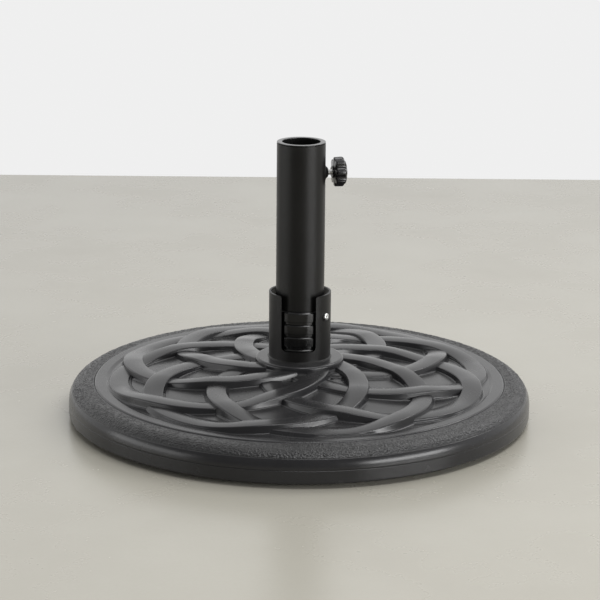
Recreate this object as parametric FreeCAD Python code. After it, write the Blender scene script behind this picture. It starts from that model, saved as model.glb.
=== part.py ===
import FreeCAD, Part
import math
import os

# Parasol base: a moulded, concrete-filled disc with a woven relief, and a slotted steel cup that
# holds the stem on a ribbed sleeve. Millimetres, +Z up, origin on the floor under the stem's axis.

V = FreeCAD.Vector
ORIGIN = V(0, 0, 0)
UP = V(0, 0, 1)

# --- disc ---------------------------------------------------------------------------------------
DISC_R = 250.0
WALL_BASE_Z = 5.0
BASE_CORNER = 2.0
PARTING_Z = 19.0
PARTING_HALF = 0.4
SHOULDER_R = 19.6
BAND_RISE_DEG = 9.0
BORDER_OUT_R = 222.5
BORDER_IN_R = 210.0
BORDER_Z = 40.0
BORDER_CHAMFER = 1.2
FIELD_EDGE_R = 206.5
FIELD_EDGE_Z = 38.6
FIELD_HUB_R = 62.0
FIELD_HUB_Z = 53.0
SHELL_WALL = 4.5
CAVITY_GAP = 0.3

# --- woven relief -------------------------------------------------------------------------------
RING_COUNT = 8
RING_OFFSET = 88.5
RING_R = 108.2
RING_PHASE_DEG = 13.9
STRAP_HALF = 12.0
STRAP_DRAFT = 1.0
STRAP_CROWN = 2.5
STRAP_DEPTH = 16.0
STRAP_DIVE = 4.5
UNDER_AHEAD = 2
CREST_Z = 61.5
CREST_FALL = 3.6e-4
TIP_DIP = 4.0
CROSSINGS = 5
SWEEP_TOLERANCE = 0.01

# --- plinth in the middle -------------------------------------------------------------------------
PLINTH_R = 47.8
PLINTH_FOOT_R = 51.0
PLINTH_FOOT_Z = 56.0
PLINTH_Z = 65.0
PLINTH_ROUND = 3.0
PLINTH_ROOF_Z = 49.0
ROOF_INSET = 6.0
ANCHOR_HOLE_R = 5.4

# --- pan, feet and their screws -------------------------------------------------------------------
PAN_Z = 5.5
PAN_T = 2.5
POST_R = 6.0
POST_TOP_Z = 34.0
PILOT_R = 2.0
PILOT_TOP_Z = 26.0
PAN_HOLE_R = 2.2
FIXING_R = 205.0
FIXINGS = 4
FOOT_R = 15.0
FOOT_CHAMFER = 1.5
PAN_SCREW_HEAD_R = 4.0
PAN_SCREW_HEAD_T = 1.8
PAN_SCREW_ROUND = 0.8
PAN_SCREW_R = 1.95
PAN_SCREW_TIP_Z = 24.0

# --- anchor through the middle --------------------------------------------------------------------
BOLT_R = 5.0
BOLT_HEAD_AF = 17.0
BOLT_HEAD_Z = 9.0
BOLT_HEAD_T = 6.4
BOLT_TIP_Z = 83.0
BOLT_CHAMFER = 1.0
ANCHOR_PLATE_R = 30.0
ANCHOR_PLATE_T = 3.0
POCKET_GAP = 2.0
WASHER_R = 10.0
WASHER_T = 2.0
SPRING_WASHER_R = 9.0
SPRING_WASHER_GAP = 1.5
NUT_T = 8.0
NUT_GAP = 0.05

# --- steel cup ------------------------------------------------------------------------------------
CUP_R = 33.4
CUP_TURN_DEG = -2.5
CUP_WALL = 2.2
CUP_TOP_Z = 137.5
SLOT_HALF = 18.5
SLOT_BASE_Z = 77.0
SLOT_CORNER = 5.0
CUP_FLOOR_T = 3.0
CUP_FLOOR_GAP = 0.05

# --- ribbed sleeve --------------------------------------------------------------------------------
SLEEVE_IN_R = 26.05
SLEEVE_BODY_R = 28.6
SLEEVE_RIB_R = 30.4
SLEEVE_TOP_Z = 120.2
RIB_PITCH = 13.5
RIB_GROOVE = 2.6
RIB_ROUND = 0.8
RIB_HALF = 15.0
RIBS = 4
LEDGE_IN_R = 20.0
LEDGE_Z = 74.0
LEDGE_T = 3.0

# --- stem -----------------------------------------------------------------------------------------
STEM_R = 26.0
STEM_IN_R = 24.0
STEM_BASE_Z = 79.0
STEM_TOP_Z = 299.3
PLUG_R = 23.9
PLUG_IN_R = 21.0
PLUG_TOP_Z = 90.0
PLUG_ROOF_T = 2.0
BORE_R = 20.4
COLLAR_SKIRT_Z = 285.0
COLLAR_SKIRT_R = 23.9
COLLAR_T = 1.7
COLLAR_ROUND = 0.6

# --- stem screws ----------------------------------------------------------------------------------
STEM_SCREW_Z = 113.8
STEM_SCREW_DEG = -35.5
STEM_SCREW_R = 2.0
STEM_SCREW_HOLE_R = 2.3
STEM_SCREW_HEAD_R = 4.0
STEM_SCREW_HEAD_T = 2.8
STEM_SCREW_ROUND = 1.6
STEM_SCREW_TIP = 22.5

# --- clamp screw, drawn along +X and then turned to its place ---------------------------------------
CLAMP_Z = 266.4
CLAMP_DEG = 15.0
CLAMP_HOLE_R = 3.4
NUT_BASE_R = 7.5
NUT_TOP_R = 5.0
NUT_OUT = 29.0
NUT_BORE_R = 3.05
STUD_R = 3.0
STUD_SHOULDER = 22.9
STUD_PIN_R = 2.0
STUD_PIN_TIP = 21.3
STUD_END = 44.0
PAD_R = 5.5
PAD_IN = 20.4
PAD_OUT = 22.8
PAD_ROUND = 0.6
PAD_SOCKET_R = 2.06
PAD_SOCKET = 21.2
INSERT_R = 4.9
KNOB_GAP = 0.05
KNOB_BACK = 34.0
KNOB_RIM = 35.9
KNOB_FACE = 48.4
KNOB_HUB_R = 6.6
KNOB_NECK_R = 8.5
KNOB_R = 16.0
KNOB_LOBES = 8
KNOB_TURN_DEG = 16.5
KNOB_SCOOP_R = 4.6
KNOB_SCOOP_AT = 18.1
KNOB_EDGE = 1.2

# --- levels that follow from the stack in the middle -------------------------------------------------
PAN_TOP_Z = PAN_Z + PAN_T
PLATE_Z = BOLT_HEAD_Z + BOLT_HEAD_T
PLATE_TOP_Z = PLATE_Z + ANCHOR_PLATE_T
CUP_FLOOR_TOP_Z = PLINTH_Z + CUP_FLOOR_T
SPRING_Z = CUP_FLOOR_TOP_Z + WASHER_T
NUT_Z = SPRING_Z + WASHER_T
LEDGE_TOP_Z = LEDGE_Z + LEDGE_T
COLLAR_TOP_Z = STEM_TOP_Z + COLLAR_T

# --- cutters run past the faces they cut by this much ------------------------------------------------
PAST = 1.0


def revolve(outline):
    """Turns a closed outline about the vertical axis.

    A corner is (radius, height). One of four numbers ends an arc, and its first two are on the arc.
    """
    corners = [V(corner[-2], 0, corner[-1]) for corner in outline]
    edges = []
    for before, corner, after in zip(corners[-1:] + corners[:-1], outline, corners):
        if len(corner) == 4:
            edges.append(Part.Arc(before, V(corner[0], 0, corner[1]), after).toShape())
        else:
            edges.append(Part.makeLine(before, after))
    return Part.Face(Part.Wire(edges)).revolve(ORIGIN, UP, 360)


def arc_end(centre, radius, from_deg, to_deg):
    """The corner that ends an arc about a centre, for use in an outline."""
    middle, end = math.radians((from_deg + to_deg) / 2), math.radians(to_deg)
    return (centre[0] + radius * math.cos(middle), centre[1] + radius * math.sin(middle),
            centre[0] + radius * math.cos(end), centre[1] + radius * math.sin(end))


def ring(r_in, r_out, z0, z1):
    """A plain washer shape."""
    return revolve([(r_in, z0), (r_out, z0), (r_out, z1), (r_in, z1)])


def disc(radius, z0, z1):
    """An upright cylinder on the axis."""
    return Part.makeCylinder(radius, z1 - z0, V(0, 0, z0))


def column(radius, at, z0, z1):
    """An upright cylinder through a point."""
    return Part.makeCylinder(radius, z1 - z0, V(at.x, at.y, z0))


def rod(radius, x0, x1):
    """A bar along +X."""
    return Part.makeCylinder(radius, x1 - x0, V(x0, 0, 0), V(1, 0, 0))


def polar(radius, count, start_deg=0.0):
    """Evenly spaced points on a circle about the axis."""
    angles = [math.radians(start_deg + 360.0 * i / count) for i in range(count)]
    return [V(radius * math.cos(angle), radius * math.sin(angle), 0) for angle in angles]


def hexagon(across_flats, z0, z1):
    """A hexagonal bar on the axis, with corners on the X axis."""
    corners = [corner + V(0, 0, z0) for corner in polar(across_flats / math.sqrt(3), 6)]
    return Part.Face(Part.makePolygon(corners + corners[:1])).extrude(V(0, 0, z1 - z0))


def turned(shape, degrees):
    """A copy turned about the vertical axis."""
    copy = shape.copy()
    copy.rotate(ORIGIN, UP, degrees)
    return copy


def around(shape, count, start_deg=0.0):
    """Copies evenly spaced about the vertical axis."""
    return [turned(shape, start_deg + 360.0 * i / count) for i in range(count)]


def rims(shape, radius, z):
    """The shape's level circles of one radius at one height."""
    return [e for e in shape.Edges if isinstance(e.Curve, Part.Circle)
            and abs(e.Curve.Radius - radius) < 0.01 and abs(e.Curve.Center.z - z) < 0.01]


# --- the disc's outline ------------------------------------------------------------------------------
def shoulder(inset):
    """The big round between the wall and the rising band: its first corner and its arc."""
    centre = (DISC_R - SHOULDER_R, PARTING_Z + PARTING_HALF)
    radius = SHOULDER_R - inset
    return [(centre[0] + radius, centre[1]), arc_end(centre, radius, 0.0, 90.0 - BAND_RISE_DEG)]


def disc_outside():
    """The disc from its wall to its plinth, solid inside."""
    corner = (DISC_R - BASE_CORNER, WALL_BASE_Z + BASE_CORNER)
    wall = [(0, WALL_BASE_Z), (corner[0], WALL_BASE_Z), arc_end(corner, BASE_CORNER, -90.0, 0.0),
            (DISC_R, PARTING_Z - PARTING_HALF), (DISC_R - PARTING_HALF, PARTING_Z)]
    field = [(BORDER_OUT_R, BORDER_Z - BORDER_CHAMFER), (BORDER_OUT_R - BORDER_CHAMFER, BORDER_Z),
             (BORDER_IN_R, BORDER_Z), (FIELD_EDGE_R, FIELD_EDGE_Z), (FIELD_HUB_R, FIELD_HUB_Z),
             (PLINTH_FOOT_R, PLINTH_FOOT_Z), (PLINTH_R, PLINTH_FOOT_Z + 3.0), (PLINTH_R, PLINTH_Z),
             (0, PLINTH_Z)]
    body = revolve(wall + shoulder(0.0) + field)
    return body.makeFillet(PLINTH_ROUND, rims(body, PLINTH_R, PLINTH_Z))


def cavity(gap):
    """The hollow under the skin; with a gap it is the filling that sits inside that hollow."""
    low = PAN_TOP_Z + gap if gap else WALL_BASE_Z - PAST
    inset = SHELL_WALL + gap
    field = [(BORDER_IN_R, FIELD_EDGE_Z - inset), (FIELD_HUB_R, FIELD_HUB_Z - inset),
             (PLINTH_R - ROOF_INSET, PLINTH_ROOF_Z - gap), (0, PLINTH_ROOF_Z - gap)]
    return revolve([(0, low), (DISC_R - inset, low)] + shoulder(inset) + field)


# --- the woven straps ---------------------------------------------------------------------------------
def crest(radius):
    """Height of a strap's top where it lies over its neighbour."""
    return CREST_Z - CREST_FALL * radius * radius


def crossing(index):
    """Where a ring meets its index-th neighbour: angle about the ring's own centre, and radius."""
    half = math.radians(index * 180.0 / RING_COUNT)
    across = RING_OFFSET * math.sin(half)
    radius = RING_OFFSET * math.cos(half) + math.sqrt(RING_R ** 2 - across ** 2)
    angle = math.atan2(radius * math.sin(half), radius * math.cos(half) - RING_OFFSET)
    return angle, radius


def on_ring(angle, z):
    """A point of the first ring, by its angle about the ring's own centre."""
    return V(RING_OFFSET + RING_R * math.cos(angle), RING_R * math.sin(angle), z)


def strap_line():
    """Centre line of a strap's top: over at all crossings but one ahead of its tip, under behind it."""
    stations = [(0.0, crest(RING_OFFSET + RING_R) - TIP_DIP)]
    for index in range(1, CROSSINGS + 1):
        angle, radius = crossing(index)
        over = crest(radius)
        under = over - STRAP_DIVE
        ahead, behind = (under, over) if index == UNDER_AHEAD else (over, under)
        stations += [(angle, ahead), (-angle, behind)]
    stations.sort()
    points = [on_ring(*stations[0])]
    for (a0, z0), (a1, z1) in zip(stations, stations[1:]):
        points += [on_ring((a0 + a1) / 2, (z0 + z1) / 2), on_ring(a1, z1)]
    curve = Part.BSplineCurve()
    curve.interpolate(points)
    return curve


def strap():
    """One strap: a crowned bar swept round its ring from plinth to plinth."""
    curve = strap_line()
    start = curve.value(curve.FirstParameter)
    side = UP.cross(curve.tangent(curve.FirstParameter)[0]).normalize()
    half_top = STRAP_HALF - STRAP_DRAFT

    def at(across, drop):
        return start + side * across - UP * drop

    foot_left, foot_right = at(-STRAP_HALF, STRAP_DEPTH), at(STRAP_HALF, STRAP_DEPTH)
    top_left, top_right = at(-half_top, STRAP_CROWN), at(half_top, STRAP_CROWN)
    outline = Part.Wire([
        Part.makeLine(foot_left, foot_right),
        Part.makeLine(foot_right, top_right),
        Part.Arc(top_right, start, top_left).toShape(),
        Part.makeLine(top_left, foot_left)])
    sweep = Part.BRepOffsetAPI.MakePipeShell(Part.Wire([curve.toShape()]))
    sweep.setBiNormalMode(UP)
    sweep.setTolerance(SWEEP_TOLERANCE, SWEEP_TOLERANCE, SWEEP_TOLERANCE)
    sweep.add(outline, False, False)
    sweep.build()
    sweep.makeSolid()
    return sweep.shape()


# --- disc pieces ----------------------------------------------------------------------------------------
def base_shell():
    """Moulded skin with its woven relief and plinth, hollow below, with screw posts."""
    spots = polar(FIXING_R, FIXINGS)
    posts = [column(POST_R, at, PAN_TOP_Z, POST_TOP_Z) for at in spots]
    pilots = [column(PILOT_R, at, 0, PILOT_TOP_Z) for at in spots]
    straps = around(strap(), RING_COUNT, RING_PHASE_DEG)
    shell = disc_outside().multiFuse(straps).cut(cavity(0.0))
    shell = shell.multiFuse(posts).cut(pilots + [disc(ANCHOR_HOLE_R, 0, PLINTH_Z + PAST)])
    return shell.Solids[0]


def concrete_core():
    """Cast filling with a pocket for the anchor plate, clear of the screw posts."""
    pocket = disc(ANCHOR_PLATE_R + POCKET_GAP, PAN_TOP_Z, PLATE_TOP_Z)
    holes = [column(POST_R + CAVITY_GAP, at, PAN_TOP_Z, POST_TOP_Z) for at in polar(FIXING_R, FIXINGS)]
    bolt_way = disc(ANCHOR_HOLE_R, PAN_TOP_Z, PLINTH_Z)
    return cavity(CAVITY_GAP).cut(holes + [pocket, bolt_way]).Solids[0]


def bottom_pan():
    """Flat closing plate under the disc."""
    plate = disc(DISC_R - SHELL_WALL - CAVITY_GAP, PAN_Z, PAN_TOP_Z)
    return plate.cut([column(PAN_HOLE_R, at, 0, PLINTH_Z) for at in polar(FIXING_R, FIXINGS)])


def feet():
    """Rubber pads under the pan, between its screws."""
    pads = [column(FOOT_R, at, 0, PAN_Z) for at in polar(FIXING_R, FIXINGS, 180.0 / FIXINGS)]
    return Part.makeCompound([pad.makeChamfer(FOOT_CHAMFER, rims(pad, FOOT_R, 0)) for pad in pads])


def pan_screws():
    """Pan-headed screws up into the skin's posts."""
    screws = []
    for at in polar(FIXING_R, FIXINGS):
        low = PAN_Z - PAN_SCREW_HEAD_T
        head = column(PAN_SCREW_HEAD_R, at, low, PAN_Z)
        head = head.makeFillet(PAN_SCREW_ROUND, rims(head, PAN_SCREW_HEAD_R, low))
        screws.append(head.fuse(column(PAN_SCREW_R, at, PAN_Z - PAST, PAN_SCREW_TIP_Z)))
    return Part.makeCompound(screws)


# --- anchor stack -----------------------------------------------------------------------------------------
def anchor_bolt():
    """Hex bolt from under the concrete up into the cup."""
    head = hexagon(BOLT_HEAD_AF, BOLT_HEAD_Z, PLATE_Z)
    shank = disc(BOLT_R, PLATE_Z - PAST, BOLT_TIP_Z)
    return head.fuse(shank.makeChamfer(BOLT_CHAMFER, rims(shank, BOLT_R, BOLT_TIP_Z)))


def anchor_plate():
    """Large steel washer that spreads the bolt's pull under the concrete."""
    return ring(ANCHOR_HOLE_R, ANCHOR_PLATE_R, PLATE_Z, PLATE_TOP_Z)


def anchor_washer():
    """Flat washer on the cup's floor."""
    return ring(ANCHOR_HOLE_R, WASHER_R, CUP_FLOOR_TOP_Z, SPRING_Z)


def spring_washer():
    """Split ring that keeps the nut tight."""
    gap = Part.makeBox(WASHER_R, SPRING_WASHER_GAP, WASHER_T, V(0, -SPRING_WASHER_GAP / 2, SPRING_Z))
    return ring(ANCHOR_HOLE_R, SPRING_WASHER_R, SPRING_Z, NUT_Z).cut(gap)


def anchor_nut():
    """Hex nut that holds the cup down."""
    top = NUT_Z + NUT_T
    return hexagon(BOLT_HEAD_AF, NUT_Z, top).cut(disc(BOLT_R + NUT_GAP, NUT_Z - PAST, top + PAST))


# --- cup ----------------------------------------------------------------------------------------------------
def slot_cutter():
    """Round-cornered slot, open at the top, right through front and back."""
    height = CUP_TOP_Z + PAST - SLOT_BASE_Z
    block = Part.makeBox(2 * SLOT_HALF, 4 * CUP_R, height, V(-SLOT_HALF, -2 * CUP_R, SLOT_BASE_Z))
    low = [e for e in block.Edges if abs(e.CenterOfMass.z - SLOT_BASE_Z) < 0.01
           and abs(abs(e.CenterOfMass.x) - SLOT_HALF) < 0.01]
    slot = block.makeFillet(SLOT_CORNER, low)
    slot.rotate(ORIGIN, UP, CUP_TURN_DEG)
    return slot


def cup_sleeve():
    """Steel sleeve with a U-shaped slot front and back and holes for the stem screws."""
    sleeve = ring(CUP_R - CUP_WALL, CUP_R, PLINTH_Z, CUP_TOP_Z)
    return sleeve.cut([slot_cutter()] + stem_screw_holes())


def cup_floor():
    """Disc welded in the bottom of the sleeve, with the anchor hole."""
    return ring(ANCHOR_HOLE_R, CUP_R - CUP_WALL - CUP_FLOOR_GAP, PLINTH_Z, CUP_FLOOR_TOP_Z)


# --- ribbed sleeve ------------------------------------------------------------------------------------------
def rib(top):
    """One rib all the way round, from its groove up, with a rounded foot and top."""
    foot = top - RIB_PITCH + RIB_GROOVE
    centre_r = SLEEVE_RIB_R - RIB_ROUND
    root_r = (SLEEVE_IN_R + SLEEVE_BODY_R) / 2
    return revolve([(root_r, foot), (centre_r, foot),
                    arc_end((centre_r, foot + RIB_ROUND), RIB_ROUND, -90, 0),
                    (SLEEVE_RIB_R, top - RIB_ROUND),
                    arc_end((centre_r, top - RIB_ROUND), RIB_ROUND, 0, 90),
                    (root_r, top)])


def ribbed_sleeve():
    """Plastic sleeve between cup and stem, with wide ribs in the slots and a ledge that carries the stem."""
    outline = [(SLEEVE_IN_R, CUP_FLOOR_TOP_Z), (SLEEVE_BODY_R, CUP_FLOOR_TOP_Z),
               (SLEEVE_BODY_R, SLEEVE_TOP_Z), (SLEEVE_IN_R, SLEEVE_TOP_Z),
               (SLEEVE_IN_R, LEDGE_TOP_Z), (LEDGE_IN_R, LEDGE_TOP_Z),
               (LEDGE_IN_R, LEDGE_Z), (SLEEVE_IN_R, LEDGE_Z)]
    across = Part.makeBox(2 * RIB_HALF, 2 * CUP_R, CUP_TOP_Z, V(-RIB_HALF, -CUP_R, 0))
    across.rotate(ORIGIN, UP, CUP_TURN_DEG)
    ribs = [rib(SLEEVE_TOP_Z - i * RIB_PITCH).common(across) for i in range(RIBS)]
    return revolve(outline).fuse(ribs).cut(stem_screw_holes()).removeSplitter()


# --- stem ---------------------------------------------------------------------------------------------------
def at_stem_screws(shape):
    """Copies a piece along +X to the two stem screws."""
    raised = shape.copy()
    raised.translate(V(0, 0, STEM_SCREW_Z))
    return around(raised, 2, STEM_SCREW_DEG)


def stem_screw_holes():
    """Cutters for the two screws that hold stem, sleeve and cup together."""
    return at_stem_screws(rod(STEM_SCREW_HOLE_R, STEM_SCREW_TIP, CUP_R + PAST))


def stem_screws():
    """Pan-headed screws through the cup wall into the stem, their heads seated on the round wall."""
    top = CUP_R + STEM_SCREW_HEAD_T
    head = rod(STEM_SCREW_HEAD_R, CUP_R - PAST, top)
    rim = [e for e in head.Edges if isinstance(e.Curve, Part.Circle) and e.CenterOfMass.x > CUP_R]
    wall = Part.makeCylinder(CUP_R, 2 * CUP_R, V(0, 0, -CUP_R))
    head = head.makeFillet(STEM_SCREW_ROUND, rim).cut(wall)
    return Part.makeCompound(at_stem_screws(head.fuse(rod(STEM_SCREW_R, STEM_SCREW_TIP, top - PAST))))


def stem_tube():
    """Straight steel tube with holes for the clamp screw and the stem screws."""
    tube = ring(STEM_IN_R, STEM_R, STEM_BASE_Z, STEM_TOP_Z)
    return tube.cut([placed(rod(CLAMP_HOLE_R, 0, STEM_R + PAST))] + stem_screw_holes())


def stem_plug():
    """Hollow cap in the stem's foot that stops the pole above the anchor nut."""
    roof = PLUG_TOP_Z - PLUG_ROOF_T
    return revolve([(PLUG_IN_R, LEDGE_TOP_Z), (STEM_R, LEDGE_TOP_Z), (STEM_R, STEM_BASE_Z),
                    (PLUG_R, STEM_BASE_Z), (PLUG_R, PLUG_TOP_Z), (0, PLUG_TOP_Z), (0, roof),
                    (PLUG_IN_R, roof)])


def mouth_collar():
    """Plastic ring in the stem's mouth that guides the pole."""
    edge = COLLAR_TOP_Z - COLLAR_ROUND
    outer, inner = (STEM_R - COLLAR_ROUND, edge), (BORE_R + COLLAR_ROUND, edge)
    return revolve([(BORE_R, COLLAR_SKIRT_Z), (COLLAR_SKIRT_R, COLLAR_SKIRT_Z), (COLLAR_SKIRT_R, STEM_TOP_Z),
                    (STEM_R, STEM_TOP_Z), (STEM_R, edge), arc_end(outer, COLLAR_ROUND, 0, 90),
                    (inner[0], COLLAR_TOP_Z), arc_end(inner, COLLAR_ROUND, 90, 180)])


# --- clamp screw --------------------------------------------------------------------------------------------
def placed(shape):
    """Turns and lifts a clamp-screw piece from the X axis to its place on the stem."""
    there = turned(shape, CLAMP_DEG)
    there.translate(V(0, 0, CLAMP_Z))
    return there


def weld_nut():
    """Conical nut welded over the hole in the stem."""
    cone = Part.makeCone(NUT_BASE_R, NUT_TOP_R, NUT_OUT - STEM_IN_R, V(STEM_IN_R, 0, 0), V(1, 0, 0))
    stem = Part.makeCylinder(STEM_R + NUT_GAP, 2 * STEM_R, V(0, 0, -STEM_R))
    return placed(cone.cut([stem, rod(NUT_BORE_R, 0, NUT_OUT + PAST)]))


def clamp_stud():
    """Threaded rod from the knob to the pressure pad."""
    pin = rod(STUD_PIN_R, STUD_PIN_TIP, STUD_SHOULDER + PAST)
    return placed(rod(STUD_R, STUD_SHOULDER, STUD_END).fuse(pin))


def pressure_pad():
    """Small disc on the stud's tip that bears on the pole."""
    body = rod(PAD_R, PAD_IN, PAD_OUT)
    face = [e for e in body.Edges
            if isinstance(e.Curve, Part.Circle) and e.CenterOfMass.x < PAD_IN + PAD_ROUND]
    return placed(body.makeFillet(PAD_ROUND, face).cut(rod(PAD_SOCKET_R, PAD_SOCKET, PAD_OUT + PAST)))


def knob_insert():
    """Brass bush moulded in the knob, tight on the stud."""
    return placed(rod(INSERT_R, KNOB_BACK, STUD_END).cut(rod(STUD_R, 0, STUD_END + PAST)))


def knob_body():
    """Star knob: tapered hub and a rim scooped into lobes."""
    hub = Part.makeCone(KNOB_HUB_R, KNOB_NECK_R, KNOB_RIM - KNOB_BACK, V(KNOB_BACK, 0, 0), V(1, 0, 0))
    rim = rod(KNOB_R, KNOB_RIM, KNOB_FACE)
    rim = rim.makeFillet(KNOB_EDGE, [e for e in rim.Edges if isinstance(e.Curve, Part.Circle)])
    scoops = []
    for i in range(KNOB_LOBES):
        scoop = rod(KNOB_SCOOP_R, KNOB_RIM - PAST, KNOB_FACE + PAST)
        scoop.translate(V(0, 0, KNOB_SCOOP_AT))
        scoop.rotate(ORIGIN, V(1, 0, 0), KNOB_TURN_DEG + 360.0 * i / KNOB_LOBES)
        scoops.append(scoop)
    body = rim.cut(scoops).fuse(hub)
    return placed(body.cut(rod(INSERT_R + KNOB_GAP, KNOB_BACK - PAST, STUD_END + KNOB_GAP)))


PIECES = [base_shell, concrete_core, bottom_pan, feet, pan_screws, anchor_bolt, anchor_plate,
          anchor_washer, spring_washer, anchor_nut, cup_sleeve, cup_floor, ribbed_sleeve, stem_tube,
          stem_plug, mouth_collar, stem_screws, weld_nut, clamp_stud, pressure_pad, knob_insert,
          knob_body]


def main():
    os.makedirs("parts", exist_ok=True)
    for piece in PIECES:
        shape = piece()
        print(piece.__name__, shape.isValid(), len(shape.Solids), round(shape.Volume))
        shape.exportStep("parts/" + piece.__name__ + ".step")


main()
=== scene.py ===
"""Looks of a round parasol base: a woven, pebble-edged disc, a slotted cup, a stem and a star knob."""

import logging
import math
from dataclasses import dataclass, field
from enum import Enum
from typing import Callable, Iterable, Sequence

import bmesh
import bpy
from mathutils import Matrix, Vector, noise


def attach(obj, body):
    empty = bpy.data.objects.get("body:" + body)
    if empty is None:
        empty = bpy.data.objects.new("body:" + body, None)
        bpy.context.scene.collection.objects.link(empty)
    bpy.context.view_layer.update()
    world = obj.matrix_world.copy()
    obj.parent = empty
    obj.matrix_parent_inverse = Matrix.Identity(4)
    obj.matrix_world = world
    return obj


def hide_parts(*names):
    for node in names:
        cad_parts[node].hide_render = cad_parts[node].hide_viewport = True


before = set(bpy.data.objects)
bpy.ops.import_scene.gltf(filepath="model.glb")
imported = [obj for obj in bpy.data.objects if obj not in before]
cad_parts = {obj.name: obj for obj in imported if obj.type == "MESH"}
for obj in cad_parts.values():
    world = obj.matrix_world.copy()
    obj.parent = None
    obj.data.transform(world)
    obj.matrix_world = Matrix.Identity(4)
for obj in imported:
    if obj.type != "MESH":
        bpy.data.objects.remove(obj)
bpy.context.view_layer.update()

LOG = logging.getLogger("parasol_base")
MM = 0.001
FULL_TURN = 2.0 * math.pi
UP = Vector((0.0, 0.0, 1.0))
SLICES = 12
MERGE_WITHIN = 0.001 * MM
SHARP_ANGLE = math.radians(38.0)
Triple = tuple[float, float, float]


class Body(Enum):
    """The bodies that new pieces ride on."""

    BASE = "base"
    KNOB = "knob"


# --------------------------------------------------------------------------------------------------
# Outlines
# --------------------------------------------------------------------------------------------------
@dataclass(frozen=True)
class Corner:
    """A corner of an outline: distance from the axis, height along it, and the radius it is rounded to."""

    r: float
    z: float
    soft: float = 0.0


def smoothstep(t: float) -> float:
    """Eases a value from 0 to 1, level at both ends."""
    t = min(1.0, max(0.0, t))
    return t * t * (3.0 - 2.0 * t)


def arc(centre: Vector, radius: float, start: float, end: float, steps: int) -> list[Vector]:
    """Points on an arc in the outline's plane.

    Args:
        centre: The arc's centre.
        radius: Its radius in metres.
        start: The angle of its first point, in radians from the outward direction.
        end: The angle of its last point.
        steps: How many spans it is cut into.

    Returns:
        The points from start to end, both included.
    """
    angles = [start + (end - start) * i / steps for i in range(steps + 1)]
    return [centre + radius * Vector((math.cos(a), 0.0, math.sin(a))) for a in angles]


def rounded(corners: Sequence[Corner], closed: bool = True, steps: int = 5) -> list[Vector]:
    """Turns corners into points, with an arc at each rounded one.

    Args:
        corners: The outline's corners in order.
        closed: Whether the last corner joins the first.
        steps: How many spans each arc is cut into.

    Returns:
        The outline's points.
    """
    at = [Vector((c.r, 0.0, c.z)) for c in corners]
    points: list[Vector] = []
    for i, corner in enumerate(corners):
        ends = not closed and i in (0, len(corners) - 1)
        if corner.soft <= 0.0 or ends:
            points.append(at[i])
            continue
        before = (at[i - 1] - at[i]).normalized()
        after = (at[(i + 1) % len(at)] - at[i]).normalized()
        half = before.angle(after) / 2.0
        centre = at[i] + (before + after).normalized() * (corner.soft / math.sin(half))
        first = at[i] + before * (corner.soft / math.tan(half)) - centre
        last = at[i] + after * (corner.soft / math.tan(half)) - centre
        start = math.atan2(first.z, first.x)
        turn = (math.atan2(last.z, last.x) - start + math.pi) % FULL_TURN - math.pi
        points += arc(centre, corner.soft, start, start + turn, steps)
    return points


def held(points: Sequence[Vector], keep: float) -> list[Vector]:
    """Adds a point near each end of every long straight run, so that it shades flat.

    Args:
        points: A closed outline.
        keep: How far from the run's end each added point is.

    Returns:
        The outline with the added points.
    """
    out: list[Vector] = []
    for here, there in zip(points, list(points[1:]) + list(points[:1])):
        out.append(here)
        run = there - here
        if run.length > 4.0 * keep:
            step = run.normalized() * keep
            out += [here + step, there - step]
    return out


# --------------------------------------------------------------------------------------------------
# Mesh building
# --------------------------------------------------------------------------------------------------
def add_outline(bm: bmesh.types.BMesh, points: Iterable[Vector],
                closed: bool) -> list[bmesh.types.BMVert | bmesh.types.BMEdge]:
    """Adds an outline's vertices and edges to a mesh and returns them all."""
    verts = [bm.verts.new(p) for p in points]
    edges = [bm.edges.new(pair) for pair in zip(verts, verts[1:])]
    if closed:
        edges.append(bm.edges.new((verts[-1], verts[0])))
    return [*verts, *edges]


def lathe(points: Sequence[Vector], steps: int, closed: bool = True) -> bmesh.types.BMesh:
    """Spins an outline a full turn about the upright axis.

    Args:
        points: The outline, in the plane y = 0.
        steps: How many spans the turn is cut into, a multiple of SLICES.
        closed: Whether the outline is closed. An open one ends on the axis.

    Returns:
        The spun mesh, its normals outward.
    """
    bm = bmesh.new()
    geom = add_outline(bm, points, closed)
    slice_angle = FULL_TURN / SLICES
    bmesh.ops.spin(bm, geom=geom, cent=(0, 0, 0), axis=UP, angle=slice_angle, steps=steps // SLICES)
    first = [*bm.verts, *bm.edges, *bm.faces]
    for i in range(1, SLICES):
        copied = bmesh.ops.duplicate(bm, geom=first)["geom"]
        verts = [g for g in copied if isinstance(g, bmesh.types.BMVert)]
        bmesh.ops.rotate(bm, cent=(0, 0, 0), matrix=Matrix.Rotation(i * slice_angle, 3, "Z"), verts=verts)
    bmesh.ops.remove_doubles(bm, verts=bm.verts, dist=MERGE_WITHIN)
    bmesh.ops.recalc_face_normals(bm, faces=bm.faces)
    return bm


def add_mesh(bm: bmesh.types.BMesh, part: bmesh.types.BMesh) -> None:
    """Adds one mesh to another and frees it."""
    mesh = bpy.data.meshes.new("part")
    part.to_mesh(mesh)
    part.free()
    bm.from_mesh(mesh)
    bpy.data.meshes.remove(mesh)


def turn_to_x(bm: bmesh.types.BMesh) -> bmesh.types.BMesh:
    """Lays a mesh made about the upright axis along the X axis."""
    bmesh.ops.transform(bm, matrix=Matrix.Rotation(math.pi / 2, 4, "Y"), verts=bm.verts)
    return bm


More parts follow.
